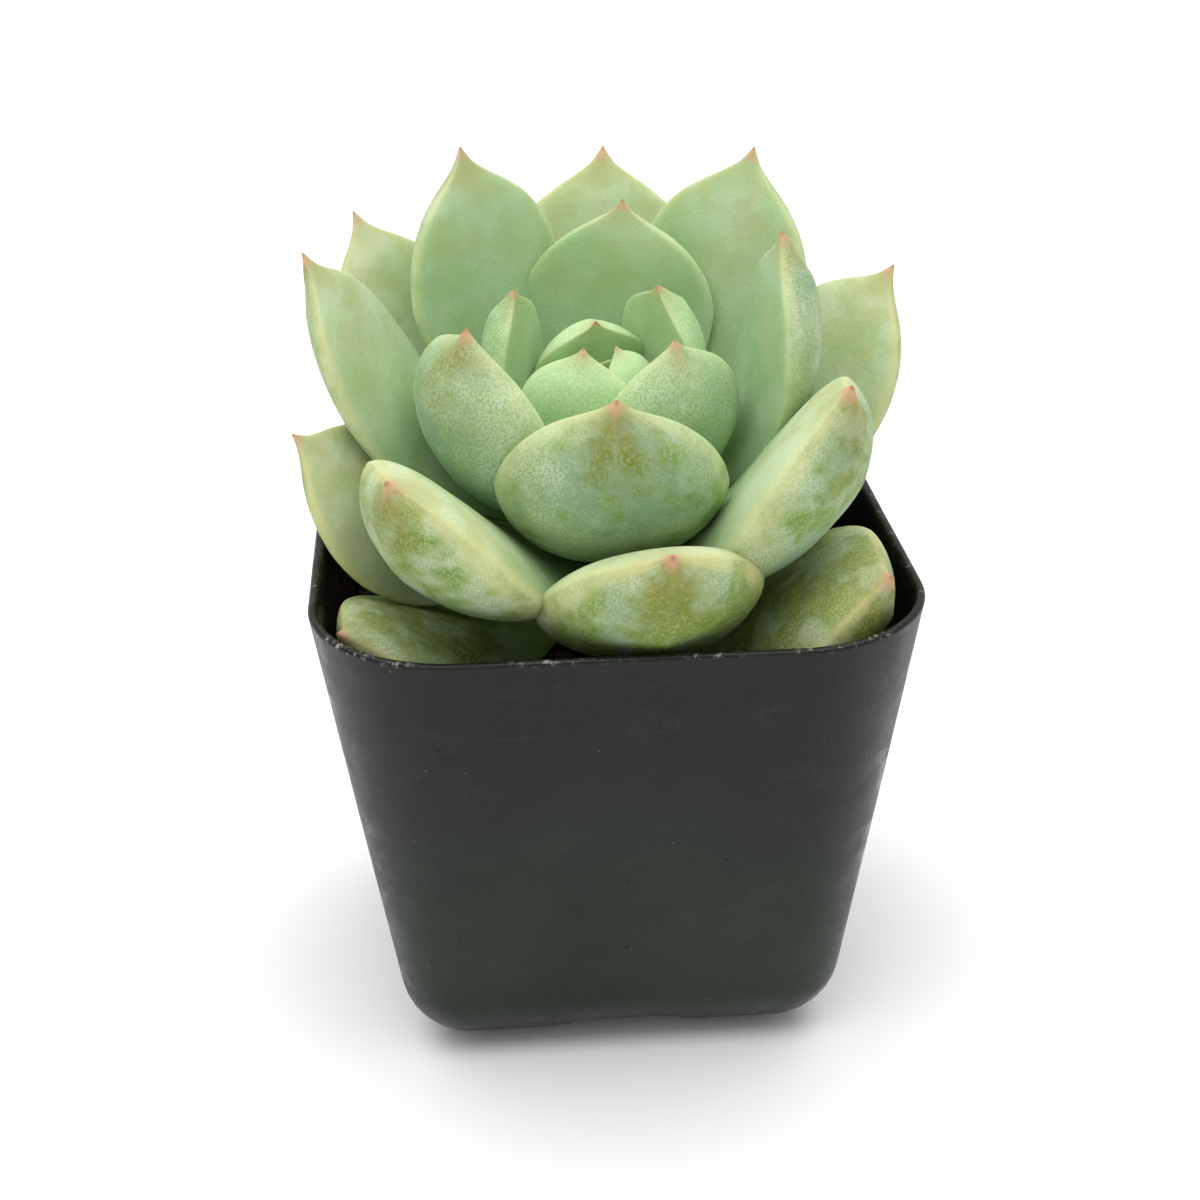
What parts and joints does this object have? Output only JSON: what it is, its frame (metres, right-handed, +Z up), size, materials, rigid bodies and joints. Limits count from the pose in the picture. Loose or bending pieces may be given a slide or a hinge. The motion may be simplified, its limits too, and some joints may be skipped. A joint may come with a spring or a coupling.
{
  "type": "potted succulent",
  "caption": "Rosette succulent with thick, pointed pale green leaves, growing in a small square black plastic nursery pot.",
  "frame": {"origin": "middle of the flat underside of the pot", "axes": "+Z up; -Y towards the front, the side the rosette leans to; +X to the viewer's right"},
  "size_m": [0.0551, 0.0563, 0.0792],
  "materials": {
    "pot": "black injection-moulded plastic, satin, dusty and lightly scuffed, rim worn pale",
    "potting_mix": "dark, loose peat and bark mix",
    "stem": "short fleshy stem, dull green",
    "leaf_young": "fresh green leaf with a fine waxy bloom and a pink point",
    "leaf": "pale blue-green leaf, powdery wax bloom, rubbed yellow-green patches, cream margins, pink point"
  },
  "bodies": {
    "root": {"pot": "pot", "potting_mix": "potting_mix", "stem": "stem", "leaf_01": "leaf_young", "leaf_02": "leaf_young", "leaf_03": "leaf_young", "leaf_04": "leaf_young", "leaf_05": "leaf_young", "leaf_06": "leaf_young", "leaf_07": "leaf_young", "leaf_08": "leaf_young", "leaf_09": "leaf_young", "leaf_10": "leaf_young", "leaf_11": "leaf", "leaf_12": "leaf", "leaf_13": "leaf", "leaf_14": "leaf", "leaf_15": "leaf", "leaf_16": "leaf", "leaf_17": "leaf", "leaf_18": "leaf", "leaf_19": "leaf", "leaf_20": "leaf", "leaf_21": "leaf", "leaf_22": "leaf", "leaf_23": "leaf", "leaf_24": "leaf", "leaf_25": "leaf", "leaf_26": "leaf", "leaf_27": "leaf", "leaf_28": "leaf", "leaf_29": "leaf", "leaf_30": "leaf", "leaf_31": "leaf", "leaf_32": "leaf", "leaf_33": "leaf"}
  },
  "joints": []
}
